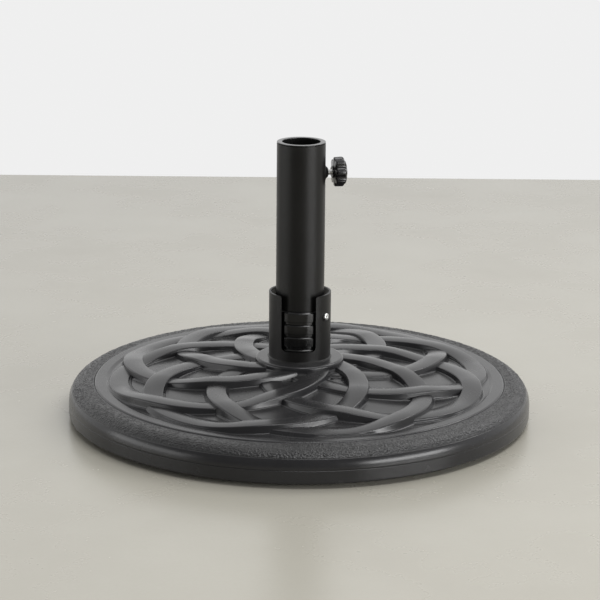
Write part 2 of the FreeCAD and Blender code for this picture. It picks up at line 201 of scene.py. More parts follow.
def finished(bm: bmesh.types.BMesh, name: str, place: Matrix = Matrix.Identity(4)) -> bpy.types.Object:
    """Makes an object of a mesh, smooth shaded, with its place in its vertices.

    Args:
        bm: The mesh, which is freed.
        name: The piece's name.
        place: Where the mesh goes.

    Returns:
        The object, linked to the scene.
    """
    bmesh.ops.transform(bm, matrix=place, verts=bm.verts)
    for face in bm.faces:
        face.smooth = True
    mesh = bpy.data.meshes.new(name)
    bm.to_mesh(mesh)
    bm.free()
    piece = bpy.data.objects.new(name, mesh)
    bpy.context.scene.collection.objects.link(piece)
    return piece


def carve(piece: bpy.types.Object, cutters: Sequence[bpy.types.Object]) -> None:
    """Cuts shapes out of a piece and removes the cutters."""
    for cutter in cutters:
        cut = piece.modifiers.new("cut", "BOOLEAN")
        cut.operation = "DIFFERENCE"
        cut.solver = "EXACT"
        cut.object = cutter
    graph = bpy.context.evaluated_depsgraph_get()
    mesh = bpy.data.meshes.new_from_object(piece.evaluated_get(graph))
    piece.modifiers.clear()
    piece.data = mesh
    for cutter in cutters:
        bpy.data.objects.remove(cutter)


def soften(piece: bpy.types.Object, width: float, segments: int = 3) -> None:
    """Rounds a piece's sharp edges and lets its large faces lead the shading."""
    bevel = piece.modifiers.new("edges", "BEVEL")
    bevel.width = width
    bevel.segments = segments
    bevel.limit_method = "ANGLE"
    bevel.angle_limit = SHARP_ANGLE
    shading = piece.modifiers.new("shading", "WEIGHTED_NORMAL")
    shading.keep_sharp = True


# --------------------------------------------------------------------------------------------------
# Shader groups and finishes
# --------------------------------------------------------------------------------------------------
class Group:
    """A shader node group under construction, with named sockets."""

    def __init__(self, name: str, inputs: dict[str, tuple[str, float]], outputs: dict[str, str]) -> None:
        """Makes the group and its sockets.

        Args:
            name: The group's name.
            inputs: For each input, its kind and its default.
            outputs: For each output, its kind.
        """
        self.tree = bpy.data.node_groups.new(name, "ShaderNodeTree")
        for label, (kind, default) in inputs.items():
            socket = self.tree.interface.new_socket(label, in_out="INPUT", socket_type=f"NodeSocket{kind}")
            if kind == "Float":
                socket.default_value = default
        for label, kind in outputs.items():
            self.tree.interface.new_socket(label, in_out="OUTPUT", socket_type=f"NodeSocket{kind}")
        self.start = self.tree.nodes.new("NodeGroupInput").outputs
        self.end = self.tree.nodes.new("NodeGroupOutput").inputs

    def node(self, kind: str, **settings: object) -> bpy.types.Node:
        """Adds a node and sets its properties."""
        return add_node(self.tree, kind, **settings)

    def link(self, source: bpy.types.NodeSocket, target: bpy.types.NodeSocket) -> None:
        """Joins two sockets."""
        self.tree.links.new(source, target)


def add_node(tree: bpy.types.NodeTree, kind: str, **settings: object) -> bpy.types.Node:
    """Adds a shader node of a kind, named without its ShaderNode prefix, and sets its properties."""
    node = tree.nodes.new(f"ShaderNode{kind}")
    for label, value in settings.items():
        setattr(node, label, value)
    return node


def grain_group() -> bpy.types.NodeTree:
    """Fine moulded or sprayed grain: a height and a shade that vary over the surface."""
    group = Group("fine_grain", {"Vector": ("Vector", 0.0), "Scale": ("Float", 900.0)},
                  {"Height": "Float", "Shade": "Float"})
    fine = group.node("TexNoise")
    fine.inputs["Detail"].default_value = 3.0
    fine.inputs["Roughness"].default_value = 0.6
    cells = group.node("TexVoronoi", feature="SMOOTH_F1")
    cells.inputs["Smoothness"].default_value = 0.6
    mixed = group.node("Math", operation="ADD")
    halved = group.node("Math", operation="MULTIPLY")
    halved.inputs[1].default_value = 0.5
    for texture in (fine, cells):
        group.link(group.start["Vector"], texture.inputs["Vector"])
        group.link(group.start["Scale"], texture.inputs["Scale"])
    group.link(fine.outputs[0], mixed.inputs[0])
    group.link(cells.outputs["Distance"], mixed.inputs[1])
    group.link(mixed.outputs[0], halved.inputs[0])
    group.link(halved.outputs[0], group.end["Height"])
    group.link(fine.outputs[0], group.end["Shade"])
    return group.tree


def mottle_group() -> bpy.types.NodeTree:
    """Broad uneven patches, as moulded or sprayed surfaces have, from 0 to 1."""
    group = Group("mottle", {"Vector": ("Vector", 0.0), "Scale": ("Float", 18.0)}, {"Patches": "Float"})
    broad = group.node("TexNoise")
    broad.inputs["Detail"].default_value = 6.0
    broad.inputs["Roughness"].default_value = 0.62
    spread = group.node("MapRange")
    spread.inputs["From Min"].default_value = 0.32
    spread.inputs["From Max"].default_value = 0.68
    group.link(group.start["Vector"], broad.inputs["Vector"])
    group.link(group.start["Scale"], broad.inputs["Scale"])
    group.link(broad.outputs[0], spread.inputs["Value"])
    group.link(spread.outputs[0], group.end["Patches"])
    return group.tree


def dust_group() -> bpy.types.NodeTree:
    """Pale dust that lies on faces turned upwards, in uneven patches."""
    group = Group("settled_dust", {"Vector": ("Vector", 0.0), "Amount": ("Float", 0.1)}, {"Mask": "Float"})
    geometry = group.node("NewGeometry")
    split = group.node("SeparateXYZ")
    level = group.node("MapRange", interpolation_type="SMOOTHSTEP")
    level.inputs["From Min"].default_value = 0.55
    level.inputs["From Max"].default_value = 1.0
    patches = group.node("TexNoise")
    patches.inputs["Scale"].default_value = 60.0
    patches.inputs["Detail"].default_value = 8.0
    by_patch = group.node("Math", operation="MULTIPLY")
    by_amount = group.node("Math", operation="MULTIPLY")
    group.link(geometry.outputs["Normal"], split.inputs[0])
    group.link(split.outputs["Z"], level.inputs["Value"])
    group.link(group.start["Vector"], patches.inputs["Vector"])
    group.link(level.outputs[0], by_patch.inputs[0])
    group.link(patches.outputs[0], by_patch.inputs[1])
    group.link(by_patch.outputs[0], by_amount.inputs[0])
    group.link(group.start["Amount"], by_amount.inputs[1])
    group.link(by_amount.outputs[0], group.end["Mask"])
    return group.tree


class Effects:
    """The shared shader groups, each built when it is first asked for."""

    _made: dict[str, bpy.types.NodeTree] = {}
    _makers: dict[str, Callable[[], bpy.types.NodeTree]] = {
        "grain": grain_group, "mottle": mottle_group, "dust": dust_group}

    @classmethod
    def place(cls, tree: bpy.types.NodeTree, effect: str, **values: float) -> bpy.types.Node:
        """Places an effect in a material.

        Args:
            tree: The material's node tree.
            effect: The effect's name.
            **values: Its inputs' values.

        Returns:
            The placed group node.
        """
        if effect not in cls._made:
            cls._made[effect] = cls._makers[effect]()
        node = tree.nodes.new("ShaderNodeGroup")
        node.node_tree = cls._made[effect]
        for label, value in values.items():
            node.inputs[label].default_value = value
        return node


@dataclass(frozen=True)
class Finish:
    """A surface finish: its colours, its gloss and its fine relief."""

    name: str
    slot: str
    colour: Triple
    tint: Triple
    roughness: float
    rough_spread: float = 0.08
    metallic: float = 0.0
    grain_scale: float = 900.0
    grain_depth: float = 0.00002
    grain_shade: float = 0.15
    mottle_scale: float = 18.0
    dust: float = 0.0
    dust_colour: Triple = (0.30, 0.29, 0.27)
    specular: float = 0.5

    def build(self) -> bpy.types.Material:
        """Builds the material's nodes.

        Returns:
            The material.
        """
        material = bpy.data.materials.new(self.name)
        material.use_nodes = True
        tree = material.node_tree
        shader = tree.nodes["Principled BSDF"]
        where = add_node(tree, "TexCoord").outputs["Object"]
        mottle = Effects.place(tree, "mottle", Scale=self.mottle_scale)
        grain = Effects.place(tree, "grain", Scale=self.grain_scale)
        dust = Effects.place(tree, "dust", Amount=self.dust)
        for effect in (mottle, grain, dust):
            tree.links.new(where, effect.inputs["Vector"])
        base = self._blend(tree, self.colour, self.tint, mottle.outputs["Patches"])
        speckled = add_node(tree, "Mix", data_type="RGBA", blend_type="MULTIPLY")
        speckled.inputs["Factor"].default_value = self.grain_shade
        tree.links.new(base.outputs[2], speckled.inputs[6])
        tree.links.new(grain.outputs["Shade"], speckled.inputs[7])
        dusty = self._blend(tree, self.colour, self.dust_colour, dust.outputs["Mask"])
        tree.links.new(speckled.outputs[2], dusty.inputs[6])
        tree.links.new(dusty.outputs[2], shader.inputs["Base Color"])
        tree.links.new(self._gloss(tree, mottle.outputs["Patches"]), shader.inputs["Roughness"])
        bump = add_node(tree, "Bump")
        bump.inputs["Strength"].default_value = 1.0
        bump.inputs["Distance"].default_value = self.grain_depth
        tree.links.new(grain.outputs["Height"], bump.inputs["Height"])
        tree.links.new(bump.outputs[0], shader.inputs["Normal"])
        shader.inputs["Metallic"].default_value = self.metallic
        shader.inputs["Specular IOR Level"].default_value = self.specular
        return material

    def _blend(self, tree: bpy.types.NodeTree, first: Sequence[float], second: Sequence[float],
               mask: bpy.types.NodeSocket) -> bpy.types.Node:
        """Mixes two colours by a mask."""
        mix = add_node(tree, "Mix", data_type="RGBA")
        mix.inputs[6].default_value = (*first, 1.0)
        mix.inputs[7].default_value = (*second, 1.0)
        tree.links.new(mask, mix.inputs["Factor"])
        return mix

    def _gloss(self, tree: bpy.types.NodeTree, patches: bpy.types.NodeSocket) -> bpy.types.NodeSocket:
        """Spreads the roughness a little either side of its value, patch by patch."""
        spread = add_node(tree, "MapRange")
        spread.inputs["To Min"].default_value = self.roughness - self.rough_spread / 2
        spread.inputs["To Max"].default_value = self.roughness + self.rough_spread / 2
        tree.links.new(patches, spread.inputs["Value"])
        return spread.outputs[0]


RESIN = Finish("charcoal_resin", "charcoal_resin", (0.017, 0.0168, 0.018), (0.022, 0.0218, 0.0232), 0.25,
               grain_scale=1400.0, grain_depth=0.000012, dust=0.035, specular=0.40)
PEBBLE = Finish("pebbled_resin", "charcoal_resin", (0.019, 0.019, 0.020), (0.026, 0.026, 0.027), 0.33,
                grain_scale=520.0, grain_depth=0.0006, grain_shade=0.4, dust=0.05, specular=0.42)
CONCRETE = Finish("cast_concrete", "concrete", (0.42, 0.41, 0.38), (0.30, 0.29, 0.27), 0.9,
                  grain_scale=500.0, grain_depth=0.0003, grain_shade=0.4)
BLACK_PLASTIC = Finish("black_plastic", "black_plastic", (0.014, 0.014, 0.015), (0.020, 0.020, 0.021), 0.5)
RUBBER = Finish("foot_rubber", "foot_rubber", (0.012, 0.012, 0.012), (0.018, 0.018, 0.018), 0.8,
                grain_depth=0.00005)
ZINC = Finish("zinc_plate", "zinc_steel", (0.78, 0.78, 0.76), (0.70, 0.70, 0.69), 0.30, metallic=1.0,
              mottle_scale=300.0, grain_shade=0.1, grain_depth=0.000005)
# A lighter copy of the zinc plate for the threaded stud: its extra lightness over ZINC is a painted
# highlight, standing in for the glint on the threads.
ZINC_PAINTED_HIGHLIGHT = Finish("zinc_plate_painted_highlight", "zinc_steel", (0.92, 0.92, 0.91), (0.86, 0.86, 0.85), 0.38, metallic=1.0,
                     mottle_scale=300.0, grain_shade=0.05, grain_depth=0.000003)
POWDER_COAT = Finish("black_powder_coat", "black_steel", (0.0045, 0.0043, 0.0040), (0.0060, 0.0057, 0.0054),
                     0.40, grain_scale=1500.0, grain_depth=0.000008, mottle_scale=30.0, specular=0.32)
SLEEVE_PLASTIC = Finish("sleeve_plastic", "sleeve_plastic", (0.004, 0.004, 0.004), (0.006, 0.006, 0.006),
                        0.15, grain_depth=0.000006, specular=0.4)
COLLAR_PLASTIC = Finish("collar_plastic", "collar_plastic", (0.008, 0.008, 0.008), (0.011, 0.011, 0.011),
                        0.14, grain_depth=0.000004)
KNOB_PLASTIC = Finish("knob_plastic", "knob_plastic", (0.008, 0.008, 0.009), (0.012, 0.012, 0.013), 0.24,
                      grain_depth=0.000006)
BRASS = Finish("turned_brass", "knob_brass", (0.72, 0.50, 0.20), (0.60, 0.42, 0.18), 0.3, metallic=1.0)
PALE_FLOOR = Finish("pale_floor", "", (0.437, 0.419, 0.362), (0.412, 0.394, 0.338), 0.27, rough_spread=0.06,
                    grain_scale=260.0, grain_depth=0.00004, grain_shade=0.05, mottle_scale=5.0)


class Dresser:
    """Gives pieces their finish and body, and reports them."""

    _materials: dict[str, bpy.types.Material] = {}

    @classmethod
    def material(cls, finish: Finish) -> bpy.types.Material:
        """Returns a finish's material, built once."""
        if finish.name not in cls._materials:
            cls._materials[finish.name] = finish.build()
        return cls._materials[finish.name]

    @classmethod
    def dress(cls, piece: bpy.types.Object, finish: Finish, body: Body, *nodes: str) -> bpy.types.Object:
        """Finishes a new piece and fixes it to its body.

        Args:
            piece: The piece.
            finish: What it is finished in.
            body: The body that it moves with.
            *nodes: The plain solids that it stands for.

        Returns:
            The piece.
        """
        piece.data.materials.clear()
        piece.data.materials.append(cls.material(finish))
        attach(piece, body.value)
        if nodes:
            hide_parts(*nodes)
        LOG.info("%s: %d faces, %s", piece.name, len(piece.data.polygons), finish.name)
        return piece

    @classmethod
    def redress(cls, node: str, finish: Finish) -> None:
        """Gives a plain solid that is kept as it is its finish."""
        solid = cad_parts[node]
        solid.data.materials.clear()
        solid.data.materials.append(cls.material(finish))
        LOG.info("%s: kept, %s", node, finish.name)


# --------------------------------------------------------------------------------------------------
# The disc
# --------------------------------------------------------------------------------------------------
@dataclass
class Weave:
    """The plan of the relief: rings turned about the stem, each over and under its neighbours."""

    count: int = 8
    offset: float = 88.5 * MM
    ring_r: float = 108.2 * MM
    phase: float = math.radians(13.9)
    half_width: float = 12.0 * MM
    crest_z: float = 61.5 * MM
    crest_fall: float = 0.36
    dive: float = 4.5 * MM
    tip_dip: float = 4.0 * MM
    crossings: int = 5
    under_ahead: int = 2
    levels: list[tuple[float, float]] = field(init=False)

    def __post_init__(self) -> None:
        """Works out the height of the strap's top at each crossing, by angle about the ring's centre."""
        tip = self.crest(self.offset + self.ring_r) - self.tip_dip
        hub = self.crest_z - self.dive / 2
        levels = [(0.0, tip), (math.pi, hub), (-math.pi, hub)]
        for index in range(1, self.crossings + 1):
            half = math.pi * index / self.count
            across = self.offset * math.sin(half)
            radius = self.offset * math.cos(half) + math.sqrt(self.ring_r ** 2 - across ** 2)
            angle = math.atan2(radius * math.sin(half), radius * math.cos(half) - self.offset)
            over = self.crest(radius)
            ahead, behind = over, over - self.dive
            if index == self.under_ahead:
                ahead, behind = behind, ahead
            levels += [(angle, ahead), (-angle, behind)]
        self.levels = sorted(levels)

    def crest(self, radius: float) -> float:
        """Height of a strap's top where it is over, by distance from the stem's axis."""
        return self.crest_z - self.crest_fall * radius * radius

    def top(self, angle: float) -> float:
        """Height of the first strap's crown, by angle about its ring's centre."""
        for (a0, z0), (a1, z1) in zip(self.levels, self.levels[1:]):
            if a0 <= angle <= a1:
                return z0 + (z1 - z0) * smoothstep((angle - a0) / (a1 - a0))
        return self.levels[0][1]


@dataclass
class WovenDisc:
    """The moulded disc: wall, shoulder, pebbled band, border, woven straps and plinth."""

    weave: Weave = field(default_factory=Weave)
    radius: float = 250.0 * MM
    wall_base: float = 5.0 * MM
    parting_z: float = 19.0 * MM
    parting_half: float = 0.45 * MM
    shoulder_r: float = 19.6 * MM
    band_rise: float = math.radians(9.0)
    band_start: float = math.radians(35.0)
    band_in: float = 222.5 * MM
    band_seat: float = 0.9 * MM
    border_in: float = 210.0 * MM
    border_z: float = 40.0 * MM
    field_edge: tuple[float, float] = (206.5 * MM, 38.6 * MM)
    field_hub: tuple[float, float] = (62.0 * MM, 53.0 * MM)
    plinth_r: float = 47.8 * MM
    plinth_z: float = 65.0 * MM
    plinth_foot: tuple[float, float] = (52.4 * MM, 51.6 * MM)
    plinth_waist: float = 58.5 * MM
    hollow_r: float = 42.0 * MM
    hollow_z: float = 49.0 * MM
    hollow_edge: tuple[float, float] = (234.0 * MM, 24.0 * MM)
    wall: float = 4.5 * MM
    bolt_hole: float = 5.4 * MM
    foot_round: float = 2.1 * MM
    edge_round: float = 1.9 * MM
    crown: float = 0.8 * MM
    lean: float = 1.1 * MM
    bury: float = 2.5 * MM
    strap_steps: int = 624
    band_steps: int = 1920
    band_row: float = 0.63 * MM
    band_fade: float = 0.07
    pebble_size: float = 2.4 * MM
    pebble_height: float = 0.9 * MM
    pebble_rise: float = 1.9
    pebble_sink: float = 0.35
    pebble_spread: float = 0.4

    def build(self) -> None:
        """Builds and dresses the disc's pieces."""
        Dresser.dress(self._moulding(), RESIN, Body.BASE, "base_shell")
        Dresser.dress(self._band(), PEBBLE, Body.BASE, "base_shell")
        strap = self._strap()
        for turn in range(self.weave.count):
            place = Matrix.Rotation(self.weave.phase + FULL_TURN * turn / self.weave.count, 4, "Z")
            piece = finished(strap.copy(), f"woven_strap_{turn + 1}", place)
            Dresser.dress(piece, RESIN, Body.BASE, "base_shell")
        strap.free()

    def floor(self, radius: float) -> float:
        """Height of the ground between the straps, by distance from the axis."""
        (r1, z1), (r0, z0) = self.field_edge, self.field_hub
        if radius > r1:
            return z1 + (self.border_z - z1) * min(1.0, (radius - r1) / (self.border_in - r1))
        return z0 + (z1 - z0) * (radius - r0) / (r1 - r0)

    @property
    def shoulder_centre(self) -> Vector:
        """The middle of the big round between the wall and the band."""
        return Vector((self.radius - self.shoulder_r, 0.0, self.parting_z + self.parting_half))

    def _moulding(self) -> bpy.types.Object:
        """The disc without its straps: one hollow shell with a hole for the bolt."""
        low = [Corner(self.radius - self.wall, self.wall_base, 0.4 * MM),
               Corner(self.radius, self.wall_base, 2.0 * MM),
               Corner(self.radius, self.parting_z - self.parting_half, 0.2 * MM),
               Corner(self.radius - 0.5 * MM, self.parting_z, 0.12 * MM),
               Corner(self.radius, self.parting_z + self.parting_half, 0.2 * MM)]
        points = rounded(low, closed=False, steps=4)
        points += arc(self.shoulder_centre, self.shoulder_r, 0.06, self.band_start, 12)
        points += arc(self.shoulder_centre, self.shoulder_r - self.band_seat, self.band_start,
                      math.pi / 2 - self.band_rise, 6)
        (edge_r, edge_z), (hub_r, hub_z) = self.field_edge, self.field_hub
        under = self.wall + 0.5 * MM
        ledge = self.border_z - 1.3 * MM
        top = [Corner(points[-1].x, points[-1].z), Corner(self.band_in, points[-1].z),
               Corner(self.band_in, ledge), Corner(self.band_in - 2.0 * MM, self.border_z, 2.5 * MM),
               Corner(self.border_in, self.border_z, 1.6 * MM), Corner(edge_r, edge_z, 2.2 * MM),
               Corner(hub_r, hub_z, 4.0 * MM), Corner(*self.plinth_foot, 3.0 * MM),
               Corner(self.plinth_r, self.plinth_waist, 2.0 * MM),
               Corner(self.plinth_r, self.plinth_z, 3.0 * MM),
               Corner(self.bolt_hole, self.plinth_z, 0.3 * MM), Corner(self.bolt_hole, self.hollow_z),
               Corner(self.hollow_r, self.hollow_z), Corner(hub_r, hub_z - under),
               Corner(edge_r, edge_z - under), Corner(*self.hollow_edge),
               Corner(self.radius - self.wall, self.parting_z)]
        points += rounded(top, closed=False, steps=7)[1:]
        return finished(lathe(held(points, 0.5 * MM), 288), "disc_moulding")

    def _band(self) -> bpy.types.Object:
        """The pebbled band, from the big round's upper half to the border, set into the shell."""
        centre, end = self.shoulder_centre, math.pi / 2 - self.band_rise
        bend = arc(centre, self.shoulder_r, self.band_start, end,
                   round(self.shoulder_r * (end - self.band_start) / self.band_row))
        inner = Vector((self.band_in + 0.2 * MM, 0.0, bend[-1].z + 0.1 * MM))
        flat = round((inner - bend[-1]).length / self.band_row)
        rows = bend + [bend[-1].lerp(inner, (i + 1) / flat) for i in range(flat)]
        seat = arc(centre, self.shoulder_r - self.band_seat - 0.2 * MM, self.band_start, end, 5)
        under = [Vector((inner.x, 0.0, seat[-1].z)), *reversed(seat)]
        bm = lathe([*rows, *under], self.band_steps)
        for vert in bm.verts:
            radius = math.hypot(vert.co.x, vert.co.y)
            outward = Vector((max(0.0, radius - centre.x), 0.0, vert.co.z - centre.z))
            if outward.length < self.shoulder_r - 0.5 * self.band_seat:
                continue
            share = (radius - rows[-1].x) / (rows[0].x - rows[-1].x)
            lift = self._pebble(vert.co) * smoothstep(min(share, 1.0 - share) / self.band_fade)
            outward = outward.normalized() * lift
            vert.co += Vector((vert.co.x / radius * outward.x, vert.co.y / radius * outward.x, outward.z))
        return finished(bm, "pebbled_band")

    def _pebble(self, at: Vector) -> float:
        """Height of the pebbled relief over its ground at a point."""
        near, far = noise.voronoi(at / self.pebble_size)[0][:2]
        bump = smoothstep((far - near) * self.pebble_rise)
        uneven = 1.0 - self.pebble_spread * (1.0 - noise.noise(at / (2.0 * self.pebble_size)))
        return self.pebble_height * (bump * uneven - self.pebble_sink)

    def _section(self) -> list[Vector]:
        """A strap's section as (distance from the centre line, level).

        A level near 0 is a height over the ground, and a level near 1 is 1 less the drop from the
        crown. The two are told apart when the strap is shaped.
        """
        half, foot, edge = self.weave.half_width, self.foot_round, self.edge_round
        inner = half - self.lean - edge
        quarter = math.pi / 2
        right = arc(Vector((half + foot, 0.0, foot - 0.1 * MM)), foot, -quarter, -2.0 * quarter, 5)
        right += arc(Vector((inner, 0.0, 1.0 - self.crown - edge)), edge, 0.0, quarter, 6)
        for i in range(1, 7):
            across = inner * (1.0 - i / 6)
            right.append(Vector((across, 0.0, 1.0 - self.crown * (across / inner) ** 2)))
        left = [Vector((-p.x, 0.0, p.z)) for p in reversed(right[:-1])]
        bottom = half + foot
        return [*right, *left, Vector((-bottom, 0.0, -self.bury)), Vector((bottom, 0.0, -self.bury))]

    def _strap(self) -> bmesh.types.BMesh:
        """One strap, spun about its ring's centre and then raised and lowered along its way."""
        bm = lathe([p + Vector((self.weave.ring_r, 0.0, 0.0)) for p in self._section()], self.strap_steps)
        for vert in bm.verts:
            angle = math.atan2(vert.co.y, vert.co.x)
            top = self.weave.top(angle)
            x, y = vert.co.x + self.weave.offset, vert.co.y
            if vert.co.z > 0.5:
                vert.co.z = top - (1.0 - vert.co.z)
            else:
                vert.co.z += self.floor(math.hypot(x, y))
            vert.co.x = x
        hidden = [v for v in bm.verts if math.hypot(v.co.x, v.co.y) < self.plinth_r - 6.0 * MM]
        bmesh.ops.delete(bm, geom=hidden, context="VERTS")
        bmesh.ops.holes_fill(bm, edges=[e for e in bm.edges if e.is_boundary], sides=0)
        bmesh.ops.recalc_face_normals(bm, faces=bm.faces)
        return bm


@dataclass
class Underside:
    """The weight in the disc, the pan that closes it, its screws and feet, and the anchor."""

    finishes: dict[str, Finish] = field(default_factory=lambda: {
        "concrete_core": CONCRETE, "bottom_pan": BLACK_PLASTIC, "feet": RUBBER, "pan_screws": ZINC,
        "anchor_bolt": ZINC, "anchor_plate": ZINC, "anchor_washer": ZINC, "spring_washer": ZINC,
        "anchor_nut": ZINC, "cup_floor": POWDER_COAT, "stem_plug": BLACK_PLASTIC})

    def build(self) -> None:
        """Finishes the solids that are kept as they are."""
        for node, finish in self.finishes.items():
            Dresser.redress(node, finish)


# --------------------------------------------------------------------------------------------------
# The cup and what it holds
# --------------------------------------------------------------------------------------------------
@dataclass
class Cup:
    """The steel sleeve on the plinth, slotted front and back."""

    radius: float = 33.4 * MM
    wall: float = 2.2 * MM
    turn: float = math.radians(-2.5)
    base_z: float = 65.0 * MM
    top_z: float = 137.5 * MM
    slot_half: float = 18.5 * MM
    slot_base: float = 77.0 * MM
    slot_corner: float = 5.0 * MM
    lip_round: float = 1.6 * MM
    edge: float = 0.5 * MM
    weld: float = 1.3 * MM
    cutter_past: float = 8.0 * MM

    def build(self) -> None:
        """Builds and dresses the cup."""
        Dresser.dress(self._sleeve(), POWDER_COAT, Body.BASE, "cup_sleeve")

    def _sleeve(self) -> bpy.types.Object:
        """The sleeve with its slots cut, and a thin weld round its foot."""
        inner = self.radius - self.wall
        wall = [Corner(inner, self.base_z), Corner(self.radius + self.weld, self.base_z),
                Corner(self.radius + 0.55 * self.weld, self.base_z + 0.75 * self.weld, 0.5 * MM),
                Corner(self.radius, self.base_z + self.weld, 0.3 * MM),
                Corner(self.radius, self.top_z), Corner(inner, self.top_z)]
        sleeve = finished(lathe(rounded(wall, steps=3), 240), "cup_sleeve_round")
        carve(sleeve, [self._slot_cutter()])
        soften(sleeve, self.edge)
        return sleeve

    def _slot_cutter(self) -> bpy.types.Object:
        """A bar through the cup in the slot's shape, with its upper corners eased outwards."""
        high = self.top_z + self.cutter_past
        wide = self.slot_half + self.cutter_past
        corners = [Corner(-self.slot_half, self.slot_base, self.slot_corner),
                   Corner(self.slot_half, self.slot_base, self.slot_corner),
                   Corner(self.slot_half, self.top_z, self.lip_round), Corner(wide, self.top_z),
                   Corner(wide, high), Corner(-wide, high), Corner(-wide, self.top_z),
                   Corner(-self.slot_half, self.top_z, self.lip_round)]
        bm = bmesh.new()
        add_outline(bm, rounded(corners, steps=8), closed=True)
        face = bmesh.ops.contextual_create(bm, geom=bm.edges)["faces"]
        pushed = bmesh.ops.extrude_face_region(bm, geom=face)["geom"]
        verts = [g for g in pushed if isinstance(g, bmesh.types.BMVert)]
        bmesh.ops.translate(bm, vec=(0.0, 4.0 * self.radius, 0.0), verts=verts)
        bmesh.ops.translate(bm, vec=(0.0, -2.0 * self.radius, 0.0), verts=bm.verts)
        bmesh.ops.recalc_face_normals(bm, faces=bm.faces)
        return finished(bm, "slot_cutter", Matrix.Rotation(self.turn, 4, "Z"))


@dataclass
class RibbedSleeve:
    """The plastic sleeve between the cup and the stem, with wide ribs standing in the slots."""

    bore: float = 26.05 * MM
    body: float = 28.6 * MM
    rib: float = 30.4 * MM
    base_z: float = 68.0 * MM
    top_z: float = 120.2 * MM
    pitch: float = 13.5 * MM
    groove: float = 2.6 * MM
    ribs: int = 4
    rib_half: float = 15.4 * MM
    rib_round: float = 0.6 * MM
    rib_slope: tuple[float, float] = (1.7 * MM, 1.6 * MM)
    turn: float = math.radians(-2.5)
    ledge: tuple[float, float, float] = (20.0 * MM, 74.0 * MM, 77.0 * MM)

    def build(self) -> None:
        """Builds and dresses the sleeve."""
        ledge_r, ledge_low, ledge_top = self.ledge
        outline = [Corner(self.bore, self.base_z), Corner(self.body, self.base_z, 0.4 * MM),
                   Corner(self.body, self.top_z, 0.5 * MM), Corner(self.bore, self.top_z, 0.5 * MM),
                   Corner(self.bore, ledge_top), Corner(ledge_r, ledge_top, 0.4 * MM),
                   Corner(ledge_r, ledge_low), Corner(self.bore, ledge_low)]
        bm = lathe(held(rounded(outline, steps=4), 0.35 * MM), 192)
        for i in range(self.ribs):
            add_mesh(bm, self._rib(self.top_z - i * self.pitch))
        piece = finished(bm, "ribbed_sleeve_round")
        soften(piece, 0.4 * MM)
        Dresser.dress(piece, SLEEVE_PLASTIC, Body.BASE, "ribbed_sleeve")

    def _rib(self, top: float) -> bmesh.types.BMesh:
        """One rib, front and back, from its rounded foot up to its sloping top."""
        foot, root = top - self.pitch + self.groove, self.body - 0.8 * MM
        inward, down = self.rib_slope
        outline = [Corner(root, foot), Corner(self.rib, foot, self.rib_round),
                   Corner(self.rib, top - down, self.rib_round), Corner(self.rib - inward, top, 0.4 * MM),
                   Corner(root, top)]
        bm = lathe(rounded(outline, steps=4), 192)
        for side in (-1.0, 1.0):
            bmesh.ops.bisect_plane(bm, geom=[*bm.verts, *bm.edges, *bm.faces], plane_no=(side, 0, 0),
                                   plane_co=(side * self.rib_half, 0, 0), clear_outer=True)
        bmesh.ops.holes_fill(bm, edges=[e for e in bm.edges if e.is_boundary], sides=0)
        bmesh.ops.rotate(bm, cent=(0, 0, 0), matrix=Matrix.Rotation(self.turn, 3, "Z"), verts=bm.verts)
        bmesh.ops.recalc_face_normals(bm, faces=bm.faces)
        return bm


@dataclass
class Stem:
    """The straight steel tube, with a plastic collar in its mouth."""

    radius: float = 26.0 * MM
    inner: float = 24.0 * MM
    base_z: float = 79.0 * MM
    top_z: float = 299.3 * MM
    bore: float = 20.4 * MM
    skirt_z: float = 285.0 * MM
    collar_t: float = 1.7 * MM
    seam: float = 0.7 * MM

    def build(self) -> None:
        """Builds and dresses the tube and the collar."""
        tube = [Corner(self.inner, self.base_z, 0.3 * MM), Corner(self.radius, self.base_z, 0.4 * MM),
                Corner(self.radius, self.top_z, 0.35 * MM), Corner(self.inner, self.top_z, 0.2 * MM)]
        piece = finished(lathe(held(rounded(tube, steps=4), 0.5 * MM), 192), "stem_tube_round")
        Dresser.dress(piece, POWDER_COAT, Body.BASE, "stem_tube")
        top = self.top_z + self.collar_t
        skirt = self.inner - 0.1 * MM
        collar = [Corner(self.bore, self.skirt_z, 0.3 * MM), Corner(skirt, self.skirt_z, 0.5 * MM),
                  Corner(skirt, self.top_z + self.seam),
                  Corner(self.radius, self.top_z + self.seam, 0.2 * MM),
                  Corner(self.radius, top, 0.45 * MM), Corner(self.bore, top, 0.6 * MM)]
        piece = finished(lathe(held(rounded(collar, steps=5), 0.4 * MM), 192), "mouth_collar_round")
        Dresser.dress(piece, COLLAR_PLASTIC, Body.BASE, "mouth_collar")


